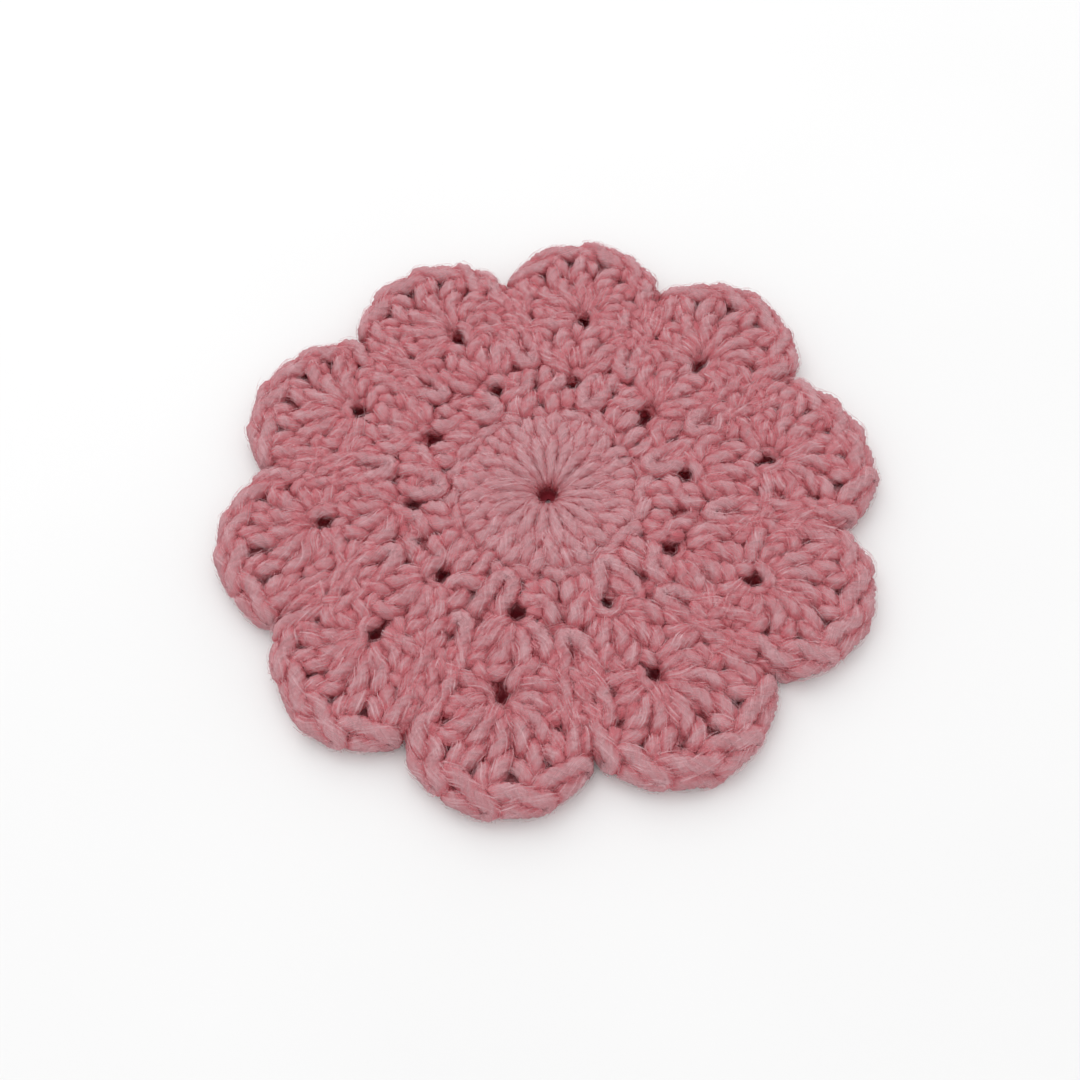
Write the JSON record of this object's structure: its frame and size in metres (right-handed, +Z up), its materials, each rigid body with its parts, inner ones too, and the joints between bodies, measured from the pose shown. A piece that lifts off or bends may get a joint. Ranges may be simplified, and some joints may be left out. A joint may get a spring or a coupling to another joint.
{
  "type": "crochet coaster",
  "caption": "Round flat mat of thick looped yarn with a scalloped petal edge, laid on a table under a cup or glass.",
  "frame": {"origin": "on the surface the coaster lies on, under the ring that the work starts from, which is the middle of its footprint", "axes": "+Z up, through the coaster's thickness and out of its right side; the picture looks along +Y"},
  "size_m": [0.113, 0.114, 0.0054],
  "materials": {
    "yarn": "matte, softly fuzzy twisted yarn"
  },
  "bodies": {
    "root": {"coaster": "yarn"}
  },
  "joints": []
}
